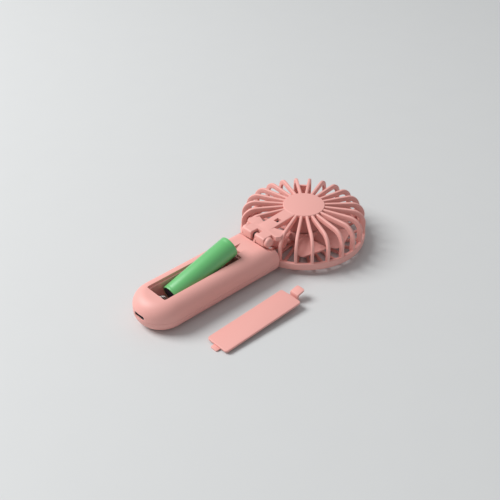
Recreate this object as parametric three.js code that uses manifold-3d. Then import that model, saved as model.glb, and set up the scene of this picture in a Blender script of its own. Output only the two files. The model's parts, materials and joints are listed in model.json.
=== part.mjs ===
// A folding hand and desk fan, lying front side down with its battery compartment open.
// Millimetres, +Z up. The origin is the centre of the front badge's flat face, on the fan's spin axis.
// The handle points along -X, and the fan's rear side faces up.
import * as THREE from "three";
import { mergeVertices } from "three/addons/utils/BufferGeometryUtils.js";
import Module from "manifold-3d";

const wasm = await Module();
wasm.setup();

// ---------------------------------------------------------------- driving dimensions
const CLEAR = 0.3; // gap between neighbouring pieces
const SNUG = 0.1; // gap between pieces that are pressed or stacked together
const FAR = 200; // longer than the whole fan, for cutting blocks

// Head, about the spin axis.
const headR = 42.5; // outer radius of the rim
const rimBottom = 5.3;
const rimTop = 9.4;
const rimWall = 2.2;
const panelTop = 17.6; // top of the one closed panel between two rear ribs
const discR = 14.07; // flat disc in the middle of the rear grille
const discTop = 28.07;
const discThick = 2.1;
const ribCount = 24; // evenly spaced places, two of which the neck takes up
const ribWide = 1.9;
const ribDeep = 3.5;
const domeR = 10.2; // radius of the shoulder that each rear rib turns through
const shoulderZ = 17; // height of the shoulder's centre
const domeTop = 27.2; // height of a rib where its shoulder starts

// Front grille.
const frontCapR = 13.2;
const badgeR = 11.6;
const frontRibTop = 2.6;

// Motor and rotor.
const cupR = 12.9;
const cupBottom = 13.2;
const cupWall = 1.2;
const canR = 11.1;
const canBottom = 14.9;
const canTop = 24.2;
const shaftR = 1.0;
const hubR = 12.3;
const hubBottom = 4.4;
const hubTop = 11.9;
const bladeCount = 7;
const bladeTipR = 32.6;
const bladeTurn = THREE.MathUtils.degToRad(15.3); // how far round the rotor has stopped

// Hinge between the head and the handle, along Y.
const hingeX = -43;
const hingeZ = 22.8;
const knuckleR = 3.7; // half of a knuckle's height
const knuckleSweep = 4.85; // radius that clears a knuckle's corners as the head folds
const knuckleInner = 2.2; // half of the gap between the two knuckles
const knuckleOuter = 9.5;
const plateHalf = 13.3;
const neckHalf = 4.8;
const pinR = 1.2;
const leafBarrelR = 2;
const pinCapR = 3.5;
const pinCapEnd = 12.1;
const pinCapLong = 2.5;

// Handle.
const handleEnd = -139.9;
const handleWide = 35.3;
const handleHigh = 20.6;
const handleRound = 9; // radius of its long edges
const handleWall = 1.8;
const nestR = 43.7; // radius of the hollow end that the head sits against
const seamZ = 9;

// Battery compartment, cell and cover.
const bayStart = -126.3;
const bayEnd = -64.2;
const bayWide = 17.4;
const coverThick = 1.5;
const ledge = 1.1; // width of the ledge that the cover sits on
const recessDeep = 1.7;
const cellR = 7.1;
const cellLong = 51.3;
const cellTilt = THREE.MathUtils.degToRad(16.1);
const cellStart = [-115.0, 0, 12.4];
const latchWide = 6.8;
const latchReach = 4.4; // how far the latch's slot runs past the compartment
const rampEnd = 10; // where the slot's ramp comes up to the handle's top
const tongueWide = 5.4;
const tabRise = 0.5; // how far the cover's finger tab stands above its plate
const coverTilt = THREE.MathUtils.degToRad(2.5);
const coverStart = [-116.5, -43.4, 1.13];

// ---------------------------------------------------------------- materials
const paint = (color, roughness, metalness) => () =>
  new THREE.MeshStandardMaterial({ color, roughness, metalness });
const pinkPlastic = paint(0xf0a8a2, 0.5, 0);
const darkPlastic = paint(0x26262a, 0.5, 0);
const whitePlastic = paint(0xe9e4dc, 0.45, 0);
const greenWrap = paint(0x55a866, 0.35, 0);
const steel = paint(0xb9bcc0, 0.3, 1);
const darkSteel = paint(0x5b5450, 0.4, 1);
const brass = paint(0xc9a14f, 0.35, 1);
const copper = paint(0xb56a3a, 0.35, 1);
const boardGreen = paint(0x2c6b43, 0.5, 0);
const ferrite = paint(0x3b3b3e, 0.8, 0);
const redWire = paint(0xb3262b, 0.5, 0);
const blackWire = paint(0x1b1b1d, 0.5, 0);
const clearLens = paint(0xdfe8ee, 0.15, 0);

// ---------------------------------------------------------------- solids from three.js shapes
function solid(geometry) {
  const bare = geometry.index ? geometry.toNonIndexed() : geometry;
  const points = new THREE.BufferGeometry().setAttribute("position", bare.getAttribute("position"));
  const merged = mergeVertices(points, 1e-4);
  return new wasm.Manifold(new wasm.Mesh({
    numProp: 3,
    vertProperties: new Float32Array(merged.attributes.position.array),
    triVerts: new Uint32Array(merged.index.array),
  }));
}

function block(x0, x1, y0, y1, z0, z1) {
  const box = new THREE.BoxGeometry(x1 - x0, y1 - y0, z1 - z0);
  return solid(box.translate((x0 + x1) / 2, (y0 + y1) / 2, (z0 + z1) / 2));
}

// A cylinder about the vertical through (x, y), or a cone when its top radius differs.
function post(x, y, r, z0, z1, { sides = 20, top = r } = {}) {
  const rod = new THREE.CylinderGeometry(top, r, z1 - z0, sides).rotateX(Math.PI / 2);
  return solid(rod.translate(x, y, (z0 + z1) / 2));
}

// A cylinder along Y, centred on (x, z).
function crossRod(x, z, r, y0, y1, sides = 28) {
  return solid(new THREE.CylinderGeometry(r, r, y1 - y0, sides).translate(x, (y0 + y1) / 2, z));
}

// A cylinder along X, centred on (y, z).
function longRod(y, z, r, x0, x1, sides = 28) {
  const rod = new THREE.CylinderGeometry(r, r, x1 - x0, sides).rotateZ(Math.PI / 2);
  return solid(rod.translate((x0 + x1) / 2, y, z));
}

// A turned solid about Z from (radius, height) points, listed anticlockwise round the section.
function turned(profile, segments = 28) {
  const points = profile.map(([r, z]) => new THREE.Vector2(r, z));
  if (profile[0][0] > 0) points.push(points[0].clone());
  return solid(new THREE.LatheGeometry(points, segments).rotateX(Math.PI / 2));
}

// A ring of rectangular section about Z.
function ring(inner, outer, z0, z1, segments = 28) {
  return turned([[inner, z0], [outer, z0], [outer, z1], [inner, z1]], segments);
}

// An outline in plan, drawn up from z0 to z1.
function slab(shape, z0, z1, curveSegments = 5) {
  const raised = new THREE.ExtrudeGeometry(shape, { depth: z1 - z0, bevelEnabled: false, curveSegments });
  return solid(raised.translate(0, 0, z0));
}

// An outline in the XZ plane, drawn along Y from y0 to y1.
function sideSlab(shape, y0, y1, curveSegments = 5) {
  const drawn = new THREE.ExtrudeGeometry(shape, { depth: y1 - y0, bevelEnabled: false, curveSegments });
  return solid(drawn.rotateX(Math.PI / 2).translate(0, y1, 0));
}

function outline(points) {
  return new THREE.Shape(points.map(([x, y]) => new THREE.Vector2(x, y)));
}

function roundedRect(x0, x1, y0, y1, r) {
  const shape = new THREE.Shape();
  shape.moveTo(x0 + r, y0);
  shape.lineTo(x1 - r, y0);
  shape.absarc(x1 - r, y0 + r, r, -Math.PI / 2, 0, false);
  shape.lineTo(x1, y1 - r);
  shape.absarc(x1 - r, y1 - r, r, 0, Math.PI / 2, false);
  shape.lineTo(x0 + r, y1);
  shape.absarc(x0 + r, y1 - r, r, Math.PI / 2, Math.PI, false);
  shape.lineTo(x0, y0 + r);
  shape.absarc(x0 + r, y0 + r, r, Math.PI, 1.5 * Math.PI, false);
  return shape;
}

const joined = (first, ...rest) => rest.reduce((sum, next) => sum.add(next), first);
const cut = (first, ...rest) => rest.reduce((left, next) => left.subtract(next), first);
const aroundZ = (piece, angle) => piece.rotate([0, 0, THREE.MathUtils.radToDeg(angle)]);

// A round wire along a curve.
function wire(curve, r, steps, sides = 8) {
  const section = new THREE.Shape();
  for (let i = 0; i < sides; i++) {
    const a = (2 * Math.PI * i) / sides;
    section[i ? "lineTo" : "moveTo"](r * Math.cos(a), r * Math.sin(a));
  }
  section.closePath();
  return solid(new THREE.ExtrudeGeometry(section, { steps, extrudePath: curve, bevelEnabled: false }));
}

function mesh(name, made, material) {
  const { vertProperties, triVerts } = made.getMesh();
  const geometry = new THREE.BufferGeometry();
  geometry.setAttribute("position", new THREE.BufferAttribute(new Float32Array(vertProperties), 3));
  geometry.setIndex(new THREE.BufferAttribute(new Uint32Array(triVerts), 1));
  geometry.computeVertexNormals();
  const part = new THREE.Mesh(geometry, material());
  part.name = name;
  return part;
}

// ---------------------------------------------------------------- rear grille
const ribAngles = Array.from({ length: ribCount }, (_, i) => ((i + 0.5) * 2 * Math.PI) / ribCount)
  .filter((angle) => Math.abs(angle - Math.PI) > Math.PI / ribCount + 0.01);

// One rib standing in the XZ plane: a gentle dome, a round shoulder and a straight foot into the rim.
// It starts just outside the motor cup.
function rearRib() {
  const shoulderR = headR - 0.4 - domeR;
  const shape = new THREE.Shape();
  shape.moveTo(cupR + 0.4, discTop - 0.3 - ribDeep);
  shape.lineTo(cupR + 0.4, discTop - 0.3);
  shape.lineTo(discR - 0.3, discTop - 0.3);
  shape.quadraticCurveTo(shoulderR - 9, domeTop + 0.3, shoulderR, domeTop);
  shape.absarc(shoulderR, shoulderZ, domeR, Math.PI / 2, 0, true);
  shape.lineTo(headR - 0.4, rimTop - 1);
  shape.lineTo(headR - 0.4 - ribDeep, rimTop - 1);
  shape.absarc(shoulderR, shoulderZ, domeR - ribDeep, 0, Math.PI / 2, false);
  return sideSlab(shape, -ribWide / 2, ribWide / 2, 3);
}

// One knuckle's section in the XZ plane, flat on top and in front, with its lower corners cut off.
function knuckleSection() {
  const top = hingeZ + knuckleR;
  return outline([
    [hingeX - knuckleR, top - 1], [hingeX - knuckleR, hingeZ - 2.2], [hingeX - 2.2, hingeZ - knuckleR],
    [hingeX + 1.2, hingeZ - knuckleR], [hingeX + 3, hingeZ - 2], [hingeX + 3.8, top - 3], [hingeX + 3.8, top],
    [hingeX - knuckleR + 1, top],
  ]);
}

function hingePlate() {
  const top = hingeZ + knuckleR;
  const under = top - 3;
  // The plate widens to meet the ribs on either side of the neck.
  const plan = outline([
    [hingeX + 2, -knuckleOuter], [hingeX + 3.8, -knuckleOuter], [hingeX + 3.8, -plateHalf],
    [-36.5, -plateHalf - 1.6], [-30.4, -plateHalf + 0.6], [-29.8, -plateHalf + 1.6], [-32.2, -neckHalf - 0.8],
    [-32.2, neckHalf + 0.8], [-29.8, plateHalf - 1.6], [-30.4, plateHalf - 0.6], [-36.5, plateHalf + 1.6],
    [hingeX + 3.8, plateHalf], [hingeX + 3.8, knuckleOuter], [hingeX + 2, knuckleOuter],
  ]);
  const neck = outline([
    [-38, under], [-cupR - 0.4, discTop - 3.9], [-cupR - 0.4, discTop - 0.15], [-33, top + 0.35], [-38, top],
  ]);
  const notchEnd = hingeX + leafBarrelR + 0.5;
  const notch = block(hingeX - 5, notchEnd, -knuckleInner, knuckleInner, hingeZ - 5, top + 1);
  return cut(
    joined(
      slab(plan, under, top),
      sideSlab(neck, -neckHalf, neckHalf),
      sideSlab(knuckleSection(), -knuckleOuter, knuckleOuter),
    ),
    notch,
    crossRod(hingeX, hingeZ, pinR + SNUG, -FAR, FAR, 24),
    block(hingeX + 3, -discR + 3, -2.4, 2.4, under - 2, top - 1.3), // groove for the motor leads
    block(-27.4, -23.6, -2.6, 0.9, under, discTop), // small window into the groove
  );
}

// The one panel that closes the gap between two ribs, above the rim.
function rimPanel() {
  const [from, to] = [37.5, 52.5].map(THREE.MathUtils.degToRad);
  const sector = outline([
    [0, 0], [60 * Math.cos(from), 60 * Math.sin(from)], [60 * Math.cos(to), 60 * Math.sin(to)],
  ]);
  const outer = headR - 0.5;
  return ring(outer - 1.6, outer, rimTop - 1, panelTop, 96).intersect(slab(sector, 0, 40));
}

function rearGrille() {
  const disc = turned([
    [0, discTop - discThick], [discR, discTop - discThick], [discR, discTop - 0.5], [discR - 0.5, discTop],
    [0, discTop],
  ]);
  const rim = turned([
    [headR - rimWall, rimBottom], [headR - 0.5, rimBottom], [headR, rimBottom + 0.5], [headR, rimTop - 0.6],
    [headR - 0.6, rimTop], [headR - rimWall, rimTop],
  ], 60);
  const ribs = ribAngles.map((angle) => aroundZ(rearRib(), angle));
  return joined(disc, rim, ...ribs, hingePlate(), rimPanel());
}

// ---------------------------------------------------------------- front grille
function frontRib() {
  const shape = outline([
    [frontCapR - 1, 0.6], [32, 0.9], [37.5, 2.2], [39.6, 3.4], [39.6, 4.6], [36.5, 4.1], [31.5, frontRibTop],
    [frontCapR - 1, 2.2],
  ]);
  return sideSlab(shape, -ribWide / 2, ribWide / 2);
}

function frontGrille() {
  const cap = turned([
    [0, 1.3], [badgeR + CLEAR, 1.3], [badgeR + CLEAR, 0.3], [frontCapR - 0.4, 0.3], [frontCapR, 0.8],
    [frontCapR, 2.2], [0, 2.2],
  ]);
  // The rim carries a spigot that clips inside the rear rim.
  const rim = turned([
    [headR - rimWall - 1.5, 3.1], [headR - 2.6, 3.1], [headR - 0.3, 4.5], [headR - 0.3, rimBottom - SNUG],
    [headR - rimWall - CLEAR, rimBottom - SNUG], [headR - rimWall - CLEAR, 7.4], [headR - rimWall - 1.5, 7.4],
  ], 60);
  const ribs = Array.from({ length: ribCount }, (_, i) =>
    aroundZ(frontRib(), ((i + 0.5) * 2 * Math.PI) / ribCount));
  return joined(cap, rim, ...ribs);
}

function frontBadge() {
  return turned([[0, 0], [badgeR - 0.5, 0], [badgeR, 0.5], [badgeR, 1.3 - SNUG], [0, 1.3 - SNUG]]);
}

// ---------------------------------------------------------------- motor
const motorScrewAt = 7; // distance of the motor's two screws from the spin axis
const motorScrewHoles = (r) => [-1, 1].map((s) => post(0, s * motorScrewAt, r, 10, 20, { sides: 16 }));

function motorCup() {
  const top = discTop - discThick - SNUG;
  const wall = ring(cupR - cupWall, cupR, cupBottom, top);
  const floor = ring(3.4, cupR, cupBottom, cupBottom + 1.4);
  const leadSlot = block(-cupR - 1, -cupR + 3, -2.2, 2.2, top - 2.6, top + 1);
  return cut(joined(wall, floor), leadSlot, ...motorScrewHoles(1.3));
}

function motorCan() {
  const wall = ring(canR - 0.8, canR, canBottom, canTop);
  const floor = ring(2.6, canR, canBottom, canBottom + 0.8);
  return cut(joined(wall, floor), ...motorScrewHoles(1.2));
}

function motorEndCap() {
  const cap = ring(2.6, canR - 0.8 - SNUG, canTop - 1.3, canTop);
  return cut(cap, ...[-1, 1].map((s) => post(-7, s * 1, 0.75, canTop - 3, canTop + 1, { sides: 12 })));
}

// One arc magnet on the can's wall, to the side that s points to.
function motorMagnet(s) {
  const tube = ring(8.5, canR - 0.8 - SNUG, canBottom + 1.8, canTop - 2.2);
  return tube.intersect(block(Math.min(0, s * 15), Math.max(0, s * 15), -6.5, 6.5, 0, 40).subtract(
    block(-2, 2, -20, 20, 0, 40)));
}

function armature() {
  const core = ring(shaftR + SNUG, 3, 17.2, 21.4, 24);
  const poles = [0, 1, 2].map((i) => aroundZ(joined(
    block(2, 6.6, -1.1, 1.1, 17.2, 21.4),
    ring(6.4, 8.1, 17.2, 21.4).intersect(block(3, 9, -5.2, 5.2, 10, 30)),
  ), (i * 2 * Math.PI) / 3));
  return joined(core, ...poles);
}

// The winding round pole i: a frame that leaves the pole's stem free.
function armatureCoil(i) {
  const frame = cut(
    block(3.4, 5.7, -2.3, 2.3, 16.2, 21.7),
    block(3, 7, -1.1 - SNUG, 1.1 + SNUG, 17.2 - SNUG, 21.4 + SNUG),
  );
  return aroundZ(frame, (i * 2 * Math.PI) / 3);
}

function motorScrew(s) {
  return joined(
    post(0, s * motorScrewAt, 1.8, cupBottom - 1.6, cupBottom - SNUG, { sides: 24, top: 1.9 }),
    post(0, s * motorScrewAt, 0.9, cupBottom - 0.5, canBottom + 1.3, { sides: 16 }),
  );
}

// ---------------------------------------------------------------- rotor
// One blade, narrow and steep at the hub, wide and flat at its tip, with its higher edge swept forwards.
// Its sections lie at growing radius, and each is a thin cambered strip wrapped round the spin axis.
function blade() {
  const stations = 8;
  const across = 6;
  const rootR = hubR - 0.5;
  const rings = [];
  for (let i = 0; i < stations; i++) {
    const t = i / (stations - 1);
    const lowEdge = THREE.MathUtils.degToRad(-11 + 9 * t);
    const highEdge = THREE.MathUtils.degToRad(11 + 24 * t ** 0.6);
    const corner = 1 - 0.3 * t ** 12; // rounds the tip's two corners
    const lowZ = 6 + 0.9 * t;
    const highZ = 10.6 + 2.4 * t;
    const thick = 1.3 - 0.3 * t;
    const loop = [];
    for (let k = 0; k < 2 * across; k++) {
      const upper = k < across;
      const s = upper ? k / across : 2 - k / across; // 0 at the lower edge, 1 at the higher edge
      const u = 2 * s - 1;
      const share = (1 + u * corner) / 2;
      const angle = lowEdge + (highEdge - lowEdge) * share;
      const camber = 0.6 * (1 - u * u);
      const halfThick = (thick / 2) * Math.sqrt(Math.max(0, 1 - u ** 4)) + 0.12;
      const z = lowZ + (highZ - lowZ) * share + camber + (upper ? halfThick : -halfThick);
      const r = rootR + (bladeTipR - rootR) * t;
      loop.push(new THREE.Vector3(r * Math.cos(angle), r * Math.sin(angle), z));
    }
    rings.push(loop);
  }
  return solid(loft(rings));
}

// A closed skin over rings of equal length, with a fan of triangles over each end.
function loft(rings) {
  const size = rings[0].length;
  const faces = [];
  const middle = (loop) => loop.reduce((sum, p) => sum.add(p), new THREE.Vector3()).divideScalar(loop.length);
  const first = middle(rings[0]);
  const last = middle(rings.at(-1));
  for (let k = 0; k < size; k++) {
    const next = (k + 1) % size;
    faces.push(first, rings[0][k], rings[0][next]);
    faces.push(last, rings.at(-1)[next], rings.at(-1)[k]);
    for (let i = 0; i + 1 < rings.length; i++) {
      faces.push(rings[i][k], rings[i + 1][k], rings[i + 1][next]);
      faces.push(rings[i][k], rings[i + 1][next], rings[i][next]);
    }
  }
  return new THREE.BufferGeometry().setFromPoints(faces);
}

function fanRotor() {
  const hub = turned([
    [0, hubBottom], [hubR - 1.2, hubBottom], [hubR, hubBottom + 1.2], [hubR, hubTop], [hubR - 1.3, hubTop],
    [hubR - 1.3, 5.8], [2.8, 5.8], [2.8, 11.6], [shaftR + SNUG, 11.6], [shaftR + SNUG, 6], [0, 6],
  ]);
  const blades = Array.from({ length: bladeCount }, (_, i) =>
    aroundZ(blade(), bladeTurn + (i * 2 * Math.PI) / bladeCount));
  return joined(hub, ...blades);
}

// ---------------------------------------------------------------- hinge
function pinCap(s) {
  const profile = [
    [0, 0], [pinCapR, 0], [pinCapR, pinCapLong - 1.4], [pinCapR - 0.4, pinCapLong - 0.5],
    [pinCapR - 1.4, pinCapLong], [0, pinCapLong],
  ];
  const cap = turned(profile, 32).rotate([-s * 90, 0, 0]);
  return cap.translate([hingeX, s * (pinCapEnd - pinCapLong), hingeZ]);
}

function hingeLeaf() {
  const strap = outline([
    [-48.2, 13.4], [-46.4, 13.4], [-43.2, 17.2],
    [hingeX + 1.6, hingeZ - 1], [hingeX - 1.6, hingeZ], [-48.2, 15.2],
  ]);
  return cut(
    joined(
      crossRod(hingeX, hingeZ, leafBarrelR, -0.8, 0.8),
      sideSlab(strap, -0.8, 0.8),
      block(-58, -47.4, -6, 6, 13.4, 14.6),
    ),
    crossRod(hingeX, hingeZ, pinR + CLEAR / 2, -2, 2, 24),
    ...[-1, 1].map((s) => post(-53, s * 3.6, 1.3, 10, 18, { sides: 20 })),
  );
}

// ---------------------------------------------------------------- handle
// The handle's outer form shrunk by inset on every side.
function handleForm(inset) {
  const half = handleWide / 2 - inset;
  const round = handleRound - inset;
  const centreX = handleEnd + handleWide / 2;
  const shape = new THREE.Shape();
  shape.moveTo(-30, -half);
  shape.lineTo(-30, half);
  shape.lineTo(centreX, half);
  shape.absarc(centreX, 0, half, Math.PI / 2, 1.5 * Math.PI, false);
  const body = new THREE.ExtrudeGeometry(shape, {
    depth: handleHigh - 2 * handleRound,
    bevelThickness: round,
    bevelSize: round,
    bevelOffset: -round,
    bevelSegments: 5,
    curveSegments: 12,
  });
  const end = post(0, 0, nestR + (inset ? 3 : 0), -1, handleHigh + 1, { sides: 80 });
  return cut(solid(body.translate(0, 0, handleRound)), end);
}

const screwPlaces = [[-49.8, -9.2], [-49.8, 9.2]];
const tubBottom = 3.3;

// A screw boss hanging from the rear shell: clear of the front shell's wall below the seam.
function screwBoss([x, y]) {
  const low = post(x, y, 2.7, 5.2, 10).intersect(handleForm(handleWall + CLEAR));
  const high = post(x, y, 2.7, 9.8, 18).intersect(handleForm(0.5));
  return joined(low, high);
}

const usbZ = seamZ + 0.05 + 1.75;

function rearShell() {
  const inside = handleForm(handleWall);
  const shell = cut(handleForm(0), inside, block(-FAR, FAR, -FAR, FAR, -1, seamZ + SNUG / 2));
  const tubHalf = bayWide / 2 + 1.2;
  const tub = block(bayStart - 1.6, bayEnd + 1.6, -tubHalf, tubHalf, tubBottom, handleHigh - 1);
  const leafBosses = [-1, 1].map((s) => post(-53, s * 3.6, 2, 14.9, 19.5, { sides: 20 }));
  const bayHalf = bayWide / 2;
  const ledgeHalf = bayHalf - ledge;
  const ledgeZ = handleHigh - recessDeep;
  const latchHalf = latchWide / 2 + 0.2;
  const tongueHalf = tongueWide / 2 + 0.4;
  const ramp = outline([
    [bayEnd - 1, ledgeZ], [bayEnd + latchReach, ledgeZ], [bayEnd + rampEnd, handleHigh],
    [bayEnd + rampEnd, handleHigh + 1], [bayEnd - 1, handleHigh + 1],
  ]);
  const latchBlock = block(bayEnd, bayEnd + 10.6, -5.6, 5.6, 15.6, handleHigh - 1);
  return cut(
    joined(shell, tub, latchBlock, ...screwPlaces.map(screwBoss), ...leafBosses),
    slab(roundedRect(bayStart, bayEnd, -bayHalf, bayHalf, 1.2), ledgeZ, handleHigh + 1),
    block(bayStart + 1, bayEnd - 1, -ledgeHalf, ledgeHalf, 12, handleHigh + 1),
    longRod(0, 12, ledgeHalf, bayStart + 1, bayEnd - 1, 28), // half-round floor under the cell
    block(bayStart - 1.2, bayStart + 1, -tongueHalf, tongueHalf, ledgeZ - 1.5, ledgeZ + 0.1), // tongue slot
    sideSlab(ramp, -latchHalf, latchHalf),
    block(bayEnd + 1, bayEnd + latchReach, -latchHalf, latchHalf, 16.2, ledgeZ + 1), // slot for the latch
    crossRod(hingeX, hingeZ, knuckleSweep, -FAR, FAR, 36),
    block(-47, -40, -1.4, 1.4, 12.9, 21), // opening for the hinge leaf
    ...screwPlaces.map(([x, y]) => post(x, y, 0.95, 4, 12.5, { sides: 16 })),
    ...[-1, 1].map((s) => post(-53, s * 3.6, 0.95, 13, 18.4, { sides: 16 })),
    block(-FAR, -137, -4.6, 4.6, usbZ - 1.75, usbZ + 1.75),
  );
}

const buttonPlace = [-55.5, 0];
const lensPlace = [-68, 0];

function frontShell() {
  const inside = handleForm(handleWall);
  const shell = cut(handleForm(0), inside, block(-FAR, FAR, -FAR, FAR, seamZ - SNUG / 2, FAR));
  const posts = screwPlaces.map(([x, y]) => post(x, y, 3.3, 1, 5, { sides: 24 }).intersect(handleForm(0.5)));
  return cut(
    joined(shell, ...posts),
    ...screwPlaces.map(([x, y]) => post(x, y, 2.3, -1, 3.2, { sides: 24 })),
    ...screwPlaces.map(([x, y]) => post(x, y, 1.2, 2, 6, { sides: 16 })),
    post(...buttonPlace, 5, -1, 3, { sides: 32 }),
    post(...lensPlace, 1.3, -1, 2.5, { sides: 20 }),
  );
}

function shellScrew([x, y]) {
  return joined(
    post(x, y, 1.95, 1.7, 3.1, { sides: 24, top: 2.05 }),
    post(x, y, 0.85, 2.9, 11.5, { sides: 16 }),
  );
}

function leafScrew(s) {
  return joined(
    post(-53, s * 3.6, 1.9, 12.2, 13.3, { sides: 24, top: 2 }),
    post(-53, s * 3.6, 0.85, 13.1, 17.8, { sides: 16 }),
  );
}

function powerButton() {
  return joined(
    post(...buttonPlace, 4.6, 0.6, 2.4, { sides: 32 }),
    post(...buttonPlace, 4.3, 0.25, 0.7, { sides: 32, top: 4.6 }),
    post(...buttonPlace, 5.6, 2.1, 2.9, { sides: 32 }),
  );
}

function tactSwitch() {
  return joined(
    block(buttonPlace[0] - 3, buttonPlace[0] + 3, -3, 3, 4.5, 6),
    post(...buttonPlace, 1.6, 3.6, 4.8, { sides: 20 }),
  );
}

function usbShell() {
  const outside = slab(roundedRect(-4.3, 4.3, -1.5, 1.5, 1.45), 0, 7.4, 6);
  const inside = slab(roundedRect(-4.0, 4.0, -1.2, 1.2, 1.15), 1, 9, 6);
  return cut(outside, inside).rotate([0, -90, 0]).rotate([90, 0, 0]).translate([-131.6, 0, usbZ]);
}

function contactSpring() {
  const coilTurns = 4;
  class Coil extends THREE.Curve {
    getPoint(t, target = new THREE.Vector3()) {
      const a = 2 * Math.PI * coilTurns * t;
      const r = 4.6 - 1.9 * t;
      return target.set(bayStart + 1.7 + 5.6 * t, r * Math.cos(a), 12 + r * Math.sin(a));
    }
  }
  return wire(new Coil(), 0.35, coilTurns * 10, 6);
}

// A lead in the XZ plane at the given y, through the listed (x, z) points.
function flatWire(y, r, places) {
  const curve = new THREE.CatmullRomCurve3(places.map(([x, z]) => new THREE.Vector3(x, y, z)));
  return wire(curve, r, 18, 6);
}

const boardWireRoute = [[-130.4, 7.6], [-130.2, 4.4], [-129.3, 2.9], [-127.6, 2.5], [-120, 2.5], [-95, 2.5],
  [-70, 2.5], [-62.9, 2.5], [-61, 3], [-60.4, 4.2], [-60.4, 5.6]];
const motorLeadRoute = [[-6.4, 24.8], [-9.4, 24.85], [-14, 24.6], [-22, 24.4], [-30, 24.4], [-38.4, 24.2]];

// ---------------------------------------------------------------- cell and cover
// The cell lies along its own +X, from its base to its button.
const alongX = (piece) => piece.rotate([0, 90, 0]);

function cellSleeve() {
  const end = cellLong - 0.9;
  return alongX(turned([
    [0, 0.7], [cellR - 0.7, 0.7], [cellR - 0.7, 0.1], [cellR - 0.25, 0], [cellR, 0.25], [cellR, end - 0.5],
    [cellR - 0.35, end], [4, end], [4, end - 0.6], [0, end - 0.6],
  ], 32));
}

// The cover lies along its own +X, from its tongue to its latch, with its outer face up.
function cover() {
  const long = bayEnd - bayStart - 0.2;
  const half = bayWide / 2 - 0.1;
  const plate = slab(roundedRect(0, long, -half, half, 1.8), 0, coverThick);
  const tongue = joined(
    slab(roundedRect(-2.7, 3, -tongueWide / 2, tongueWide / 2, 0.8), -0.9, 0),
    block(0.1, 2.4, -tongueWide / 2 + 0.1, tongueWide / 2 - 0.1, -0.9, 0.2),
  );
  const tabTop = coverThick + tabRise;
  const spring = outline([
    [long - 0.6, 0.1], [long - 0.6, coverThick - 0.3], [long + 0.5, 1.0], [long + 1.0, 0.2],
    [long + 1.1, -2.4], [long + 1.6, -2.95], [long + 2.1, -2.4], [long + 2.2, tabTop - 1],
    [long + 2.6, tabTop], [long + 9, tabTop + 1], [long + 9, tabTop - 0.1], [long + 3.6, tabTop - 1.3],
    [long + 3.3, -2.6],
    [long + 2.6, -3.86], [long + 0.8, -3.86], [long - 0.1, -2.8], [long - 0.2, 0.1],
  ]);
  const tab = slab(roundedRect(long - 3, long + 9, -latchWide / 2 + 0.2, latchWide / 2 - 0.2, 1.6), -5, 5);
  return joined(plate, tongue, sideSlab(spring, -4, 4).intersect(tab));
}

// ---------------------------------------------------------------- the fan
const group = new THREE.Group();

group.add(
  mesh("rear_grille", rearGrille(), pinkPlastic),
  mesh("front_grille", frontGrille(), pinkPlastic),
  mesh("front_badge", frontBadge(), pinkPlastic),
  mesh("motor_cup", motorCup(), pinkPlastic),
  mesh("motor_can", motorCan(), steel),
  mesh("motor_end_cap", motorEndCap(), whitePlastic),
  mesh("bush_front", ring(shaftR + 0.15, 2.5, canBottom + 0.1, canBottom + 1.6, 24), brass),
  mesh("bush_rear", ring(shaftR + 0.15, 2.5, canTop - 1.6, canTop - 0.1, 24), brass),
  mesh("motor_magnet_1", motorMagnet(-1), ferrite),
  mesh("motor_magnet_2", motorMagnet(1), ferrite),
  mesh("motor_screw_1", motorScrew(-1), steel),
  mesh("motor_screw_2", motorScrew(1), steel),
  mesh("motor_lead_red", flatWire(-1, 0.45, motorLeadRoute), redWire),
  mesh("motor_lead_black", flatWire(1, 0.45, motorLeadRoute), blackWire),
  mesh("hinge_pin", crossRod(hingeX, hingeZ, pinR, -knuckleOuter + 0.1, knuckleOuter - 0.1, 24), darkSteel),
  mesh("pin_cap_near", pinCap(-1), pinkPlastic),
  mesh("pin_cap_far", pinCap(1), pinkPlastic),
);

// Rotor.
group.add(
  mesh("fan_rotor", fanRotor(), pinkPlastic),
  mesh("motor_shaft", post(0, 0, shaftR, 6.2, canTop - 0.4, { sides: 24 }), steel),
  mesh("armature", armature(), darkSteel),
  mesh("commutator", ring(shaftR + SNUG, 2.2, 21.5, 22.4, 24), copper),
  ...[0, 1, 2].map((i) => mesh(`armature_coil_${i + 1}`, armatureCoil(i), copper)),
);

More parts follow.
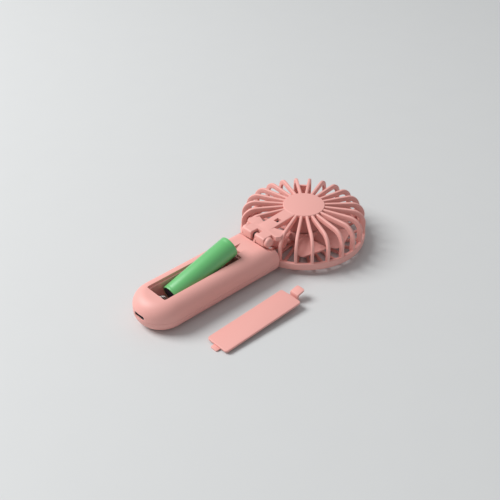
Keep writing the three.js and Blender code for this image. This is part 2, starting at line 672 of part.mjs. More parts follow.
// Handle.
const washers = [-1, 1].map((s) => {
  const disc = crossRod(hingeX, hingeZ, leafBarrelR, s * 1.47 - 0.42, s * 1.47 + 0.42);
  return cut(disc, crossRod(hingeX, hingeZ, pinR + 0.2, -3, 3, 24));
});
group.add(
  mesh("handle_rear_shell", rearShell(), pinkPlastic),
  mesh("handle_front_shell", frontShell(), pinkPlastic),
  mesh("power_button", powerButton(), pinkPlastic),
  mesh("indicator_lens", post(...lensPlace, 1.1, 0.15, 2.3, { sides: 20 }), clearLens),
  mesh("control_board", block(-61.2, -47.6, -5.2, 5.2, 6.1, 7.1), boardGreen),
  mesh("tact_switch", tactSwitch(), darkPlastic),
  mesh("charge_board", block(-136.2, -128.6, -6.3, 6.3, usbZ - 2.6, usbZ - 1.6), boardGreen),
  mesh("usb_shell", usbShell(), steel),
  mesh("usb_tongue", block(-138.4, -133, -3.2, 3.2, usbZ - 0.35, usbZ + 0.35), darkPlastic),
  mesh("board_wire_red", flatWire(-3, 0.35, boardWireRoute), redWire),
  mesh("board_wire_black", flatWire(3, 0.35, boardWireRoute), blackWire),
  mesh("contact_spring", contactSpring(), steel),
  mesh("contact_plate", block(bayEnd - 1.5, bayEnd - 1.1, -4, 4, 7, 16.5), steel),
  mesh("hinge_leaf", hingeLeaf(), pinkPlastic),
  mesh("leaf_screw_1", leafScrew(-1), steel),
  mesh("leaf_screw_2", leafScrew(1), steel),
  mesh("friction_washer_1", washers[0], darkSteel),
  mesh("friction_washer_2", washers[1], darkSteel),
  ...screwPlaces.map((place, i) => mesh(`shell_screw_${i + 1}`, shellScrew(place), steel)),
);

// The loose cell, leaning out of the compartment.
const cell = new THREE.Group();
cell.position.set(...cellStart);
cell.rotation.y = -cellTilt;
cell.add(
  mesh("cell_sleeve", cellSleeve(), greenWrap),
  mesh("cell_base", alongX(post(0, 0, cellR - 0.85, 0.1, 0.6, { sides: 32 })), darkPlastic),
  mesh("cell_button", alongX(post(0, 0, 3.2, cellLong - 1.4, cellLong, { sides: 32 })), steel),
);
group.add(cell);

// The cover, lying beside the handle on its tongue and latch.
const looseCover = new THREE.Group();
looseCover.position.set(...coverStart);
looseCover.rotation.y = -coverTilt;
looseCover.add(mesh("battery_cover", cover(), pinkPlastic));
group.add(looseCover);

export default group;
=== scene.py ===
"""Looks for a folding hand fan that lies rear side up with its battery compartment open.

Every piece is built in millimetres in the CAD frame, and is scaled to metres when it is finished.
"""

import json
import math

import bmesh
import bpy
from mathutils import Matrix, Vector


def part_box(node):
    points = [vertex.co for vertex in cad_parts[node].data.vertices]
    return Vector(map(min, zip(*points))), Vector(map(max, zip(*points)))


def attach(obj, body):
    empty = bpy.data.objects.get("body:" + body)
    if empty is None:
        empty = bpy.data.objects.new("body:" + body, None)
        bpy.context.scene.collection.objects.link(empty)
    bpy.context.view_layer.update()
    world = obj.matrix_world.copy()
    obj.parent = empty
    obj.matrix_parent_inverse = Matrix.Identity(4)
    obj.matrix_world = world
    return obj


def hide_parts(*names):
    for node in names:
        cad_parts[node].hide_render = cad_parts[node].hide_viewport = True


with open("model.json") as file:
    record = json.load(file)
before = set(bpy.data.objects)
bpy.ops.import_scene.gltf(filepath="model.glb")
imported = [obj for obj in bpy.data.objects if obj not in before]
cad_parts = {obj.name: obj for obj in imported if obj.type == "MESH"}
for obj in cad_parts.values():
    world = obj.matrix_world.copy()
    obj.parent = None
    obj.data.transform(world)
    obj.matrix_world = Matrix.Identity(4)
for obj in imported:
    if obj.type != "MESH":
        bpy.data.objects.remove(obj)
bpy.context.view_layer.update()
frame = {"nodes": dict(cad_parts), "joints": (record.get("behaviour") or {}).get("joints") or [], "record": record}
scene = bpy.context.scene
scene.view_settings.view_transform = "Standard"
MM = 0.001


def box_mm(node):
    low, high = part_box(node)
    return low / MM, high / MM


def middle_mm(node):
    low, high = box_mm(node)
    return (low + high) / 2


def joint(name):
    return next(j for j in frame["joints"] if j["name"] == name)


# ---------------------------------------------------------------- camera, light and floor
CAMERA_AT = (-0.3615, -0.3344, 0.3474)
LOOK_AT = (-0.03577, 0.01457, 0.0)
LENS = 62.84
SENSOR = 36
KEY_AT = (-0.87, 1.05, 1.4)
KEY_TARGET = (-0.10, 0, 0)
KEY_SIZE = 1.1
KEY_POWER = 38
SKY = (0.96, 0.97, 0.985, 1)
SKY_STRENGTH = 0.42
FLOOR_HALF = 3.0


def aim(obj, target):
    direction = Vector(target) - obj.location
    obj.rotation_euler = direction.to_track_quat("-Z", "Y").to_euler()


def make_camera():
    data = bpy.data.cameras.new("camera")
    data.lens = LENS
    data.sensor_width = SENSOR
    data.clip_start = 0.01
    data.clip_end = 20
    camera = bpy.data.objects.new("camera", data)
    camera.location = CAMERA_AT
    scene.collection.objects.link(camera)
    aim(camera, LOOK_AT)
    scene.camera = camera


def make_key_light():
    data = bpy.data.lights.new("key", "AREA")
    data.shape = "DISK"
    data.size = KEY_SIZE
    data.energy = KEY_POWER
    light = bpy.data.objects.new("key", data)
    light.location = KEY_AT
    scene.collection.objects.link(light)
    aim(light, KEY_TARGET)


def make_world():
    world = bpy.data.worlds.new("studio")
    world.use_nodes = True
    background = world.node_tree.nodes["Background"]
    background.inputs["Color"].default_value = SKY
    background.inputs["Strength"].default_value = SKY_STRENGTH
    scene.world = world


def make_floor(looks):
    half = FLOOR_HALF
    corners = [(-half, -half, 0), (half, -half, 0), (half, half, 0), (-half, half, 0)]
    data = bpy.data.meshes.new("floor")
    data.from_pydata(corners, [], [(0, 1, 2, 3)])
    data.materials.append(looks)
    floor = bpy.data.objects.new("floor", data)
    scene.collection.objects.link(floor)


# ---------------------------------------------------------------- materials
DRIFT_SCALE = 38
ROUGHNESS_SPREAD = 0.06
GRAIN_HIGH = 0.00004


def shader_of(made):
    return made.node_tree.nodes["Principled BSDF"]


def material(name, colour, roughness, metallic=0.0, grain=0.0, grain_scale=9000, tint=0.04, coat=0.0):
    """A Principled material whose colour drifts a little, with a fine moulded or drawn grain."""
    made = bpy.data.materials.new(name)
    made.use_nodes = True
    nodes = made.node_tree.nodes
    links = made.node_tree.links
    shader = shader_of(made)
    shader.inputs["Metallic"].default_value = metallic
    shader.inputs["Coat Weight"].default_value = coat
    where = nodes.new("ShaderNodeTexCoord")

    drift = nodes.new("ShaderNodeTexNoise")
    drift.inputs["Scale"].default_value = DRIFT_SCALE
    drift.inputs["Detail"].default_value = 3
    links.new(where.outputs["Object"], drift.inputs["Vector"])
    blend = nodes.new("ShaderNodeMix")
    blend.data_type = "RGBA"
    blend.inputs["A"].default_value = (*[c * (1 - tint) for c in colour], 1)
    blend.inputs["B"].default_value = (*[min(1, c * (1 + tint)) for c in colour], 1)
    links.new(drift.outputs["Fac"], blend.inputs["Factor"])
    links.new(blend.outputs["Result"], shader.inputs["Base Color"])

    fine = nodes.new("ShaderNodeTexNoise")
    fine.inputs["Scale"].default_value = grain_scale
    fine.inputs["Detail"].default_value = 2
    links.new(where.outputs["Object"], fine.inputs["Vector"])
    span = nodes.new("ShaderNodeMapRange")
    span.inputs["To Min"].default_value = max(0.02, roughness - ROUGHNESS_SPREAD)
    span.inputs["To Max"].default_value = min(1, roughness + ROUGHNESS_SPREAD)
    links.new(fine.outputs["Fac"], span.inputs["Value"])
    links.new(span.outputs["Result"], shader.inputs["Roughness"])

    if grain > 0:
        bump = nodes.new("ShaderNodeBump")
        bump.inputs["Strength"].default_value = grain
        bump.inputs["Distance"].default_value = GRAIN_HIGH
        links.new(fine.outputs["Fac"], bump.inputs["Height"])
        links.new(bump.outputs["Normal"], shader.inputs["Normal"])
    return made


# ---------------------------------------------------------------- mesh helpers, in millimetres
ON_AXIS = 1e-9
SMOOTH_LIMIT = math.radians(38)
BEVEL_LIMIT = math.radians(32)


def solid(name, points, faces):
    data = bpy.data.meshes.new(name)
    data.from_pydata([Vector(p) for p in points], [], faces)
    data.update()
    made = bpy.data.objects.new(name, data)
    scene.collection.objects.link(made)
    return made


def loft(name, rings):
    """A closed skin over rings of equal length, with a flat face over each end."""
    size = len(rings[0])
    points = [p for ring in rings for p in ring]
    faces = [tuple(reversed(range(size)))]
    for i in range(len(rings) - 1):
        for k in range(size):
            n = (k + 1) % size
            faces.append((i * size + k, i * size + n, (i + 1) * size + n, (i + 1) * size + k))
    faces.append(tuple((len(rings) - 1) * size + k for k in range(size)))
    return outward(solid(name, points, faces))


def outward(obj):
    mesh = bmesh.new()
    mesh.from_mesh(obj.data)
    bmesh.ops.recalc_face_normals(mesh, faces=mesh.faces)
    if mesh.calc_volume(signed=True) < 0:
        bmesh.ops.reverse_faces(mesh, faces=mesh.faces)
    mesh.to_mesh(obj.data)
    mesh.free()
    return obj


def turned(name, profile, segments=128):
    """A turned solid about Z from (radius, height) points.

    A profile that starts off the axis closes on itself.
    """
    closed = profile[0][0] > ON_AXIS
    points = []
    rows = []
    for r, z in profile:
        if r <= ON_AXIS:
            rows.append([len(points)] * segments)
            points.append((0, 0, z))
        else:
            rows.append(list(range(len(points), len(points) + segments)))
            for k in range(segments):
                a = 2 * math.pi * k / segments
                points.append((r * math.cos(a), r * math.sin(a), z))
    faces = []
    following = rows[1:] + rows[:1] if closed else rows[1:]
    for low, high in zip(rows, following):
        for k in range(segments):
            n = (k + 1) % segments
            corners = []
            for c in (low[k], low[n], high[n], high[k]):
                if c not in corners:
                    corners.append(c)
            if len(corners) > 2:
                faces.append(tuple(corners))
    return outward(solid(name, points, faces))


def rounded(corners, radius, steps=4):
    """A closed outline with its corners rounded. A corner is (a, b), or (a, b, its own radius)."""
    outline = []
    count = len(corners)
    for i, corner in enumerate(corners):
        here = Vector(corner[:2])
        before = Vector(corners[i - 1][:2]) - here
        after = Vector(corners[(i + 1) % count][:2]) - here
        r = corner[2] if len(corner) > 2 else radius
        half = before.angle(after) / 2
        if r <= 0 or half > math.pi / 2 - 0.02:
            outline.append(tuple(here))
            continue
        reach = min(r / math.tan(half), before.length * 0.49, after.length * 0.49)
        r = reach * math.tan(half)
        centre = here + (before.normalized() + after.normalized()).normalized() * (r / math.sin(half))
        start = here + before.normalized() * reach - centre
        turn = (math.pi - 2 * half) * (1 if before.cross(after) < 0 else -1)
        for k in range(steps + 1):
            outline.append(tuple(centre + Matrix.Rotation(turn * k / steps, 2) @ start))
    return outline


def slab(name, outline, z0, z1):
    """A prism over an outline in plan."""
    return loft(name, [[(x, y, z) for x, y in outline] for z in (z0, z1)])


def side_slab(name, outline, y0, y1):
    """A prism over an outline in the XZ plane."""
    return loft(name, [[(x, y, z) for x, z in outline] for y in (y0, y1)])


def rectangle(a0, a1, b0, b1):
    return [(a0, b0), (a1, b0), (a1, b1), (a0, b1)]


def block(name, x0, x1, y0, y1, z0, z1):
    return slab(name, rectangle(x0, x1, y0, y1), z0, z1)


def post(name, x, y, r, z0, z1, segments):
    """An upright cylinder."""
    made = turned(name, [(0, z0), (r, z0), (r, z1), (0, z1)], segments)
    made.data.transform(Matrix.Translation((x, y, 0)))
    return made


def cross_rod(name, x, z, r, y0, y1, segments=64):
    """A cylinder along Y."""
    made = turned(name, [(0, y0), (r, y0), (r, y1), (0, y1)], segments)
    made.data.transform(Matrix.Translation((x, 0, z)) @ Matrix.Rotation(math.radians(-90), 4, "X"))
    return made


def arc(cx, cz, r, start, end, steps):
    """Points on an arc, with its angles in degrees."""
    angles = [math.radians(start + (end - start) * k / steps) for k in range(steps + 1)]
    return [(cx + r * math.cos(a), cz + r * math.sin(a)) for a in angles]


def discard(obj):
    data = obj.data
    bpy.data.objects.remove(obj)
    bpy.data.meshes.remove(data)


def round_the_axis(name, piece, angles):
    """Copies of a piece turned about Z to each angle, together in one object that takes its place."""
    mesh = bmesh.new()
    for angle in angles:
        turned_data = piece.data.copy()
        turned_data.transform(Matrix.Rotation(angle, 4, "Z"))
        mesh.from_mesh(turned_data)
        bpy.data.meshes.remove(turned_data)
    data = bpy.data.meshes.new(name)
    mesh.to_mesh(data)
    mesh.free()
    discard(piece)
    made = bpy.data.objects.new(name, data)
    scene.collection.objects.link(made)
    return made


def bake(obj):
    """Applies the object's modifiers."""
    graph = bpy.context.evaluated_depsgraph_get()
    data = bpy.data.meshes.new_from_object(obj.evaluated_get(graph))
    obj.modifiers.clear()
    old = obj.data
    obj.data = data
    bpy.data.meshes.remove(old)
    return obj


def combine(obj, other, operation):
    step = obj.modifiers.new("step", "BOOLEAN")
    step.object = other
    step.operation = operation
    step.solver = "MANIFOLD"
    bake(obj)
    discard(other)
    return obj


def fuse(obj, *others):
    for other in others:
        combine(obj, other, "UNION")
    return obj


def carve(obj, *cutters):
    for cutter in cutters:
        combine(obj, cutter, "DIFFERENCE")
    return obj


def soften(obj, width, segments=2):
    """Rounds the sharp edges."""
    bevel = obj.modifiers.new("edge", "BEVEL")
    bevel.width = width
    bevel.segments = segments
    bevel.limit_method = "ANGLE"
    bevel.angle_limit = BEVEL_LIMIT
    bevel.use_clamp_overlap = True
    return bake(obj)


def finish(obj, name, looks, body, replaced):
    """Scales a piece to metres, shades it, and hangs it on its body."""
    obj.name = name
    obj.data.name = name
    obj.data.transform(Matrix.Scale(MM, 4))
    mesh = bmesh.new()
    mesh.from_mesh(obj.data)
    for face in mesh.faces:
        face.smooth = True
    for edge in mesh.edges:
        edge.smooth = edge.is_manifold and edge.calc_face_angle(0) < SMOOTH_LIMIT
    mesh.to_mesh(obj.data)
    mesh.free()
    obj.data.materials.clear()
    obj.data.materials.append(looks)
    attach(obj, body)
    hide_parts(replaced)


# ---------------------------------------------------------------- sizes read from the frame
grille_low, grille_high = box_mm("rear_grille")
HEAD_R = grille_high.x
RIM_BOTTOM = grille_low.z
DISC_TOP = grille_high.z
RIM_HIGH = 4.1
RIM_TOP = RIM_BOTTOM + RIM_HIGH
RIM_WALL = 2.2
DISC_R = HEAD_R * 0.331
DISC_THICK = 2.1
RIB_COUNT = 24  # evenly spaced places, two of which the neck takes up
RIB_WIDE = 1.9
RIB_DEEP = 3.5
RIB_SETBACK = 0.4  # how far the ribs' feet stand in from the rim's outer face
PANEL_TOP = 17.6
PANEL_THICK = 1.6
PANEL_START = 37.5
PANEL_END = 52.5
DOME_R = HEAD_R * 0.24
SHOULDER_Z = HEAD_R * 0.4
DOME_TOP = HEAD_R * 0.64

HINGE = Vector(joint("head_fold")["pos_m"]) / MM
KNUCKLE_R = 3.7
KNUCKLE_SWEEP = 4.85
KNUCKLE_INNER = 2.2
KNUCKLE_OUTER = 9.5
LEAF_NOTCH = 2.5  # how far past the pin the gap between the knuckles runs
KNUCKLE_BACK = 3.8
PLATE_HALF = 13.3
PLATE_THICK = 3
NECK_HALF = 4.8
PIN_R = 1.2

front_low, front_high = box_mm("front_grille")
badge_high = box_mm("front_badge")[1]
BADGE_R = badge_high.x
BADGE_RIM = 1.6
cup_low, cup_high = box_mm("motor_cup")
CUP_R = cup_high.x
CUP_WALL = 1.2
CUP_FLOOR = 1.4
CUP_HOLE_R = 3.4
rotor_low = box_mm("fan_rotor")[0]
HUB_R = CUP_R - 0.6
HUB_TOP = cup_low.z - 1.3
HUB_WALL = 1.3
BLADE_COUNT = 7
BLADE_TIP_R = 32.6
BLADE_TURN = math.radians(15.3)

shell_low, shell_high = box_mm("handle_front_shell")
HANDLE_END = shell_low.x
HANDLE_HALF = shell_high.y
HANDLE_HIGH = box_mm("handle_rear_shell")[1].z
HANDLE_ROUND = 9
HANDLE_WALL = 1.8
NEST_R = 43.7  # the hollow end that the head nests in
NEST_LIP = 3
SEAM_Z = 9
SEAM_HALF = 0.05

BAY_START = -126.3
BAY_END = -64.2
BAY_HALF = 8.7
BAY_AXIS_Z = 12
TUB_WALL = 1.2
TUB_BOTTOM = 3.3
COVER_THICK = 1.5
LEDGE = 1.1
RECESS_DEEP = 1.7
LATCH_HALF = 3.6
LATCH_REACH = 4.4
RAMP_END = 10
LATCH_LOW = 16.2
TONGUE_HALF = 2.7
TONGUE_DEEP = 0.9
TAB_END = 9
TAB_RISE = 0.5
COVER_AT = (-116.5, -43.4, 1.13)
COVER_TILT = math.radians(-2.5)

PORT_HALF = 4.6
PORT_HIGH = 1.75
PORT_BACK = -137
FAR = 200  # past every face of the handle


# ---------------------------------------------------------------- the looks
pink = material("pink_abs", (0.80, 0.391, 0.349), 0.5, grain=0.25, grain_scale=5200, tint=0.015)
# painted shade: a darker copy of the pink ABS, for the motor housing that sits in the shadow of the disc and ribs
painted_shade_pink = material("pink_abs_shaded", (0.62, 0.25, 0.22), 0.55, grain=0.25, grain_scale=5200, tint=0.015)
green = material("green_wrap", (0.12, 0.485, 0.15), 0.36, grain=0.05, grain_scale=2500, tint=0.05, coat=1.0)
shader_of(green).inputs["Coat Roughness"].default_value = 0.42
spring_steel = material("spring_steel", (0.30, 0.28, 0.27), 0.35, metallic=1, grain=0.08)
dark = material("dark_plastic", (0.006, 0.016, 0.035), 0.45, grain=0.1)
shader_of(dark).inputs["Specular IOR Level"].default_value = 0.25
floor_grey = material("floor_grey", (0.62, 0.63, 0.63), 0.6, tint=0.01)

LOOKS = {
    "pink_abs": pink,
    "green_wrap": green,
    "dark_plastic": dark,
    "white_nylon": material("white_nylon", (0.78, 0.75, 0.68), 0.5, grain=0.1),
    "clear_lens": material("clear_lens", (0.75, 0.8, 0.84), 0.2, coat=0.4),
    "circuit_board": material("circuit_board", (0.02, 0.14, 0.05), 0.35, coat=0.3, tint=0.12),
    "red_wire": material("red_wire", (0.42, 0.015, 0.02), 0.4),
    "black_wire": material("black_wire", (0.012, 0.012, 0.014), 0.4),
    "nickel_steel": material("nickel_steel", (0.62, 0.61, 0.58), 0.28, metallic=1, grain=0.08),
    "plain_steel": material("plain_steel", (0.45, 0.45, 0.46), 0.32, metallic=1, grain=0.1),
    "dark_steel": material("dark_steel", (0.075, 0.055, 0.05), 0.42, metallic=0.6, grain=0.15),
    "brass": material("brass", (0.62, 0.4, 0.13), 0.4, metallic=1, grain=0.2),
    "copper_wire": material("copper_wire", (0.6, 0.22, 0.08), 0.35, metallic=1, grain=0.3, grain_scale=2500),
    "ferrite": material("ferrite", (0.05, 0.05, 0.052), 0.8, grain=0.4),
}

make_camera()
make_world()
make_floor(floor_grey)
make_key_light()


# ---------------------------------------------------------------- head
def rib_angles():
    places = [(i + 0.5) * 2 * math.pi / RIB_COUNT for i in range(RIB_COUNT)]
    return [a for a in places if abs(a - math.pi) > math.pi / RIB_COUNT + 0.01]


def rib_section(across, deep, edge, steps=3):
    """A rounded rectangle: (sideways, inwards) points, with the outer face at 0 inwards."""
    return rounded(rectangle(-across / 2, across / 2, 0, deep), edge, steps)


def rear_rib():
    """One rib in the XZ plane: a gentle dome, a round shoulder and a straight foot."""
    steps = 14
    foot_x = HEAD_R - RIB_SETBACK
    shoulder_x = foot_x - DOME_R
    start = Vector((CUP_R + 0.4, DISC_TOP - 0.3))
    corner = Vector((shoulder_x - 9, DOME_TOP + 0.3))
    end = Vector((shoulder_x, DOME_TOP))
    path = []
    for k in range(steps):
        t = k / steps
        path.append((1 - t) ** 2 * start + 2 * t * (1 - t) * corner + t * t * end)
    path += [Vector(p) for p in arc(shoulder_x, SHOULDER_Z, DOME_R, 90, 0, steps)]
    path.append(Vector((foot_x, RIM_TOP - 1)))
    section = rib_section(RIB_WIDE, RIB_DEEP, 0.5)
    rings = []
    for k, point in enumerate(path):
        ahead = path[min(k + 1, len(path) - 1)] - path[max(k - 1, 0)]
        inward = Vector((ahead.y, -ahead.x)).normalized()
        rings.append([(point.x + inward.x * d, s, point.y + inward.y * d) for s, d in section])
    return loft("rib", rings)


def knuckles():
    """The two knuckles' section, flat on top and in front, drawn along the hinge."""
    x, z = HINGE.x, HINGE.z
    top = z + KNUCKLE_R
    section = rounded([
        (x - KNUCKLE_R, top, 1.3), (x - KNUCKLE_R, z - 2.2, 1.0), (x - 2.2, z - KNUCKLE_R, 1.0),
        (x + 1.2, z - KNUCKLE_R, 1.0), (x + 3, z - 2, 0.6),
        (x + KNUCKLE_BACK, top - PLATE_THICK, 0), (x + KNUCKLE_BACK, top, 0),
    ], 1, 6)
    made = side_slab("knuckles", section, -KNUCKLE_OUTER, KNUCKLE_OUTER)
    notch = block("notch", x - 5, x + LEAF_NOTCH, -KNUCKLE_INNER, KNUCKLE_INNER, z - 5, top + 1)
    return soften(carve(made, notch), 0.4, 3)


def hinge_plate():
    """The plate behind the knuckles, and the neck that joins it to the disc."""
    x, z = HINGE.x, HINGE.z
    top = z + KNUCKLE_R
    under = top - PLATE_THICK
    # half of the plan, from the knuckles to the neck: x, y and the corner's radius
    half_plan = [
        (x + LEAF_NOTCH, KNUCKLE_OUTER - 0.4, 0), (x + KNUCKLE_BACK, KNUCKLE_OUTER - 0.4, 0.2),
        (x + KNUCKLE_BACK, PLATE_HALF, 0.7), (-36.5, PLATE_HALF + 1.6, 0.7),
        (-30.4, PLATE_HALF - 0.6, 0.5), (-29.8, PLATE_HALF - 1.6, 0.5), (-32.2, NECK_HALF + 0.8, 1.4),
    ]
    near_side = [(a, -b, edge) for a, b, edge in half_plan]
    plan = rounded(near_side + half_plan[::-1], 0, 5)
    plate = soften(slab("plate", plan, under, top), 0.35, 3)
    neck_end = -CUP_R - 0.4
    neck = soften(side_slab("neck", [
        (-38, under + 0.1), (neck_end, DISC_TOP - 3.9), (neck_end, DISC_TOP - 0.15),
        (-33, top + 0.3), (-38, top - 0.02),
    ], -NECK_HALF, NECK_HALF), 0.4, 3)
    return carve(
        fuse(plate, knuckles(), neck),
        cross_rod("pin_hole", x, z, PIN_R + 0.1, -30, 30),
        block("lead_groove", x + 3, -DISC_R + 3, -2.4, 2.4, under - 2, top - 1.3),
        block("window", -27.4, -23.6, -2.6, 0.9, under, DISC_TOP),
    )


def rim_panel():
    """The one panel that closes the gap between two ribs, above the rim."""
    steps = 12
    outer_r = HEAD_R - 0.5
    inner_r = outer_r - PANEL_THICK
    outline = arc(0, 0, outer_r, PANEL_START, PANEL_END, steps)
    outline += arc(0, 0, inner_r, PANEL_END, PANEL_START, steps)
    return soften(slab("panel", outline, RIM_TOP - 1, PANEL_TOP), 0.4, 3)


def rear_grille():
    edge = 0.45
    disc = turned("disc", [
        (0, DISC_TOP - DISC_THICK), (DISC_R, DISC_TOP - DISC_THICK),
        *arc(DISC_R - edge, DISC_TOP - edge, edge, 0, 90, 4), (0, DISC_TOP),
    ])
    inner = HEAD_R - RIM_WALL
    top_edge = 0.8
    rim = turned("rim", [
        (inner, RIM_BOTTOM), *arc(HEAD_R - edge, RIM_BOTTOM + edge, edge, -90, 0, 4),
        *arc(HEAD_R - top_edge, RIM_TOP - top_edge, top_edge, 0, 90, 6),
        *arc(inner + edge, RIM_TOP - edge, edge, 90, 180, 4),
    ], 256)
    ribs = round_the_axis("ribs", rear_rib(), rib_angles())
    grille = fuse(disc, ribs, rim, hinge_plate(), rim_panel())
    finish(grille, "rear_cage", pink, "head", "rear_grille")


def front_rib():
    """One rib in the XZ plane, from the badge's ring out to the rim."""
    # distance from the spin axis, height of the upper face and thickness
    spine = [
        (BADGE_R + BADGE_RIM - 1, 1.4, 0.8), (20, 1.45, 0.85), (26, 1.55, 0.85), (31.5, 1.9, 0.9),
        (35, 2.5, 0.9), (37.6, 3.3, 0.8), (39.6, 4.0, 0.6),
    ]
    section = rib_section(RIB_WIDE, 2, 0.4)
    return loft("rib", [[(x, s, z + (1 - d) * thick) for s, d in section] for x, z, thick in spine])


def front_grille():
    cap_r = BADGE_R + BADGE_RIM
    seat_r = BADGE_R + 0.3
    low = front_low.z
    cap = turned("cap", [
        (0, low + 1), (seat_r, low + 1), (seat_r, low), *arc(cap_r - 0.5, low + 0.5, 0.5, -90, 0, 4),
        (cap_r, 2.2), (0, 2.2),
    ])
    lip_out = HEAD_R - RIM_WALL - 0.3
    lip_in = HEAD_R - RIM_WALL - 1.5
    under = 3.1
    rim = turned("rim", [
        (lip_in, under), (HEAD_R - 2.6, under), *arc(HEAD_R - 0.7, 4.7, 0.4, -50, 0, 3),
        (HEAD_R - 0.3, RIM_BOTTOM - 0.1), (lip_out, RIM_BOTTOM - 0.1), (lip_out, front_high.z),
        (lip_in, front_high.z),
    ], 256)
    angles = [(i + 0.5) * 2 * math.pi / RIB_COUNT for i in range(RIB_COUNT)]
    ribs = round_the_axis("ribs", front_rib(), angles)
    finish(fuse(cap, ribs, rim), "front_cage", pink, "head", "front_grille")


def front_badge():
    edge = 0.5
    dish_r = BADGE_R - 2.8
    top = badge_high.z
    badge = turned("badge", [
        (0, 0.25), (dish_r - 0.4, 0.25), (dish_r, 0), (BADGE_R - edge, 0),
        *arc(BADGE_R - edge, edge, edge, -90, 0, 4), (BADGE_R, top), (0, top),
    ])
    finish(badge, "front_badge_disc", pink, "head", "front_badge")


def motor_cup():
    edge = 0.6
    top = cup_high.z
    floor = cup_low.z + CUP_FLOOR
    cup = turned("cup", [
        (CUP_HOLE_R, cup_low.z), *arc(CUP_R - edge, cup_low.z + edge, edge, -90, 0, 4), (CUP_R, top),
        (CUP_R - CUP_WALL, top), (CUP_R - CUP_WALL, floor), (CUP_HOLE_R, floor),
    ])
    slot = block("lead_slot", -CUP_R - 1, -CUP_R + 3, -2.2, 2.2, top - 2.6, top + 1)
    # the housing takes the darker pink, which is painted shade
    finish(carve(cup, slot), "motor_housing", painted_shade_pink, "head", "motor_cup")


def blade():
    """One blade: narrow and steep at the hub, wide and flat at its tip, wrapped round the spin axis."""
    stations = 26
    across = 22
    root_r = HUB_R - 0.5
    rings = []
    for i in range(stations):
        t = i / (stations - 1)
        r = root_r + (BLADE_TIP_R - root_r) * t
        low_edge = math.radians(-11 + 9 * t)
        high_edge = math.radians(11 + 24 * t ** 0.6)
        corner = 1 - 0.3 * t ** 12
        low_z = 6 + 0.9 * t
        high_z = 10.6 + 2.4 * t
        thick = 1.3 - 0.3 * t
        ring = []
        for k in range(2 * across):
            upper = k < across
            s = k / across if upper else 2 - k / across
            u = 2 * s - 1
            share = (1 + u * corner) / 2
            angle = low_edge + (high_edge - low_edge) * share
            camber = 0.6 * (1 - u * u)
            half_thick = thick / 2 * math.sqrt(max(0, 1 - u ** 4)) + 0.12
            z = low_z + (high_z - low_z) * share + camber + (half_thick if upper else -half_thick)
            ring.append((r * math.cos(angle), r * math.sin(angle), z))
        rings.append(ring)
    return loft("blade", rings)


def fan_rotor():
    low = rotor_low.z
    edge = 1.2
    inner = HUB_R - HUB_WALL
    boss_r = 2.8
    boss_top = low + 7.2
    bore_r = 1.1
    hub = turned("hub", [
        (0, low), *arc(HUB_R - edge, low + edge, edge, -90, 0, 6), (HUB_R, HUB_TOP), (inner, HUB_TOP),
        (inner, low + 1.4), (boss_r, low + 1.4), (boss_r, boss_top), (bore_r, boss_top),
        (bore_r, low + 1.6), (0, low + 1.6),
    ])
    angles = [BLADE_TURN + i * 2 * math.pi / BLADE_COUNT for i in range(BLADE_COUNT)]
    blades = round_the_axis("blades", blade(), angles)
    finish(fuse(hub, blades), "impeller", pink, "rotor", "fan_rotor")


def pin_caps():
    edge = 1.4
    for name, side in (("pin_cap_near", -1), ("pin_cap_far", 1)):
        low, high = box_mm(name)
        r = (high.x - low.x) / 2
        long = high.y - low.y
        cap = turned("cap", [(0, 0), (r, 0), *arc(r - edge, long - edge, edge, 0, 90, 8), (0, long)], 64)
        cap.data.transform(Matrix.Rotation(math.radians(-90 * side), 4, "X"))
        cap.data.transform(Matrix.Translation((HINGE.x, high.y if side < 0 else low.y, HINGE.z)))
        finish(cap, name + "_knob", pink, "head", name)


# ---------------------------------------------------------------- handle
def handle_form(inset):
    """The handle's outer form shrunk by inset on every side, with its hollow end cut."""
    half = HANDLE_HALF - inset
    edge = HANDLE_ROUND - inset
    centre_x = HANDLE_END + HANDLE_HALF
    straight = (-90, -60, -30)
    profile = arc(HANDLE_ROUND, HANDLE_ROUND, edge, 270, 180, 14)
    profile += arc(HANDLE_ROUND, HANDLE_HIGH - HANDLE_ROUND, edge, 180, 90, 14)
    rings = []
    for d, z in profile:
        inner = half - (d - inset)
        loop = [(x, -inner, z) for x in reversed(straight)]
        loop += [(x, y, z) for x, y in arc(centre_x, 0, inner, 270, 90, 56)]
        loop += [(x, inner, z) for x in straight]
        rings.append(loop)
    nest_r = NEST_R + (NEST_LIP if inset else 0)
    return carve(loft("form", rings), post("nest", 0, 0, nest_r, -5, 30, 256))


def bay_cutters():
    """What the compartment, its latch slot and its tongue slot take out of the rear shell."""
    ledge_half = BAY_HALF - LEDGE
    ledge_z = HANDLE_HIGH - RECESS_DEEP
    tongue_half = TONGUE_HALF + 0.4
    over = HANDLE_HIGH + 1
    deep_start = BAY_START + 1
    deep_end = BAY_END - 1
    mouth = rounded(rectangle(BAY_START, BAY_END, -BAY_HALF, BAY_HALF), 1.2)
    ramp = [
        (BAY_END - 1, ledge_z), (BAY_END + LATCH_REACH, ledge_z), (BAY_END + RAMP_END, HANDLE_HIGH),
        (BAY_END + RAMP_END, over), (BAY_END - 1, over),
    ]
    half_round = post("floor", 0, 0, ledge_half, deep_start, deep_end, 96)
    half_round.data.transform(Matrix.Rotation(math.radians(90), 4, "Y"))
    half_round.data.transform(Matrix.Translation((0, 0, BAY_AXIS_Z)))
    return [
        slab("mouth", mouth, ledge_z, over),
        side_slab("latch_ramp", ramp, -LATCH_HALF, LATCH_HALF),
        block("bay", deep_start, deep_end, -ledge_half, ledge_half, BAY_AXIS_Z, over),
        half_round,
        block(
            "tongue_slot", BAY_START - 1.2, BAY_START + 1.1, -tongue_half, tongue_half,
            ledge_z - 1.5, ledge_z + 0.1,
        ),
        block(
            "latch_slot", BAY_END + 1, BAY_END + LATCH_REACH, -LATCH_HALF, LATCH_HALF,
            LATCH_LOW, ledge_z + 1,
        ),
    ]


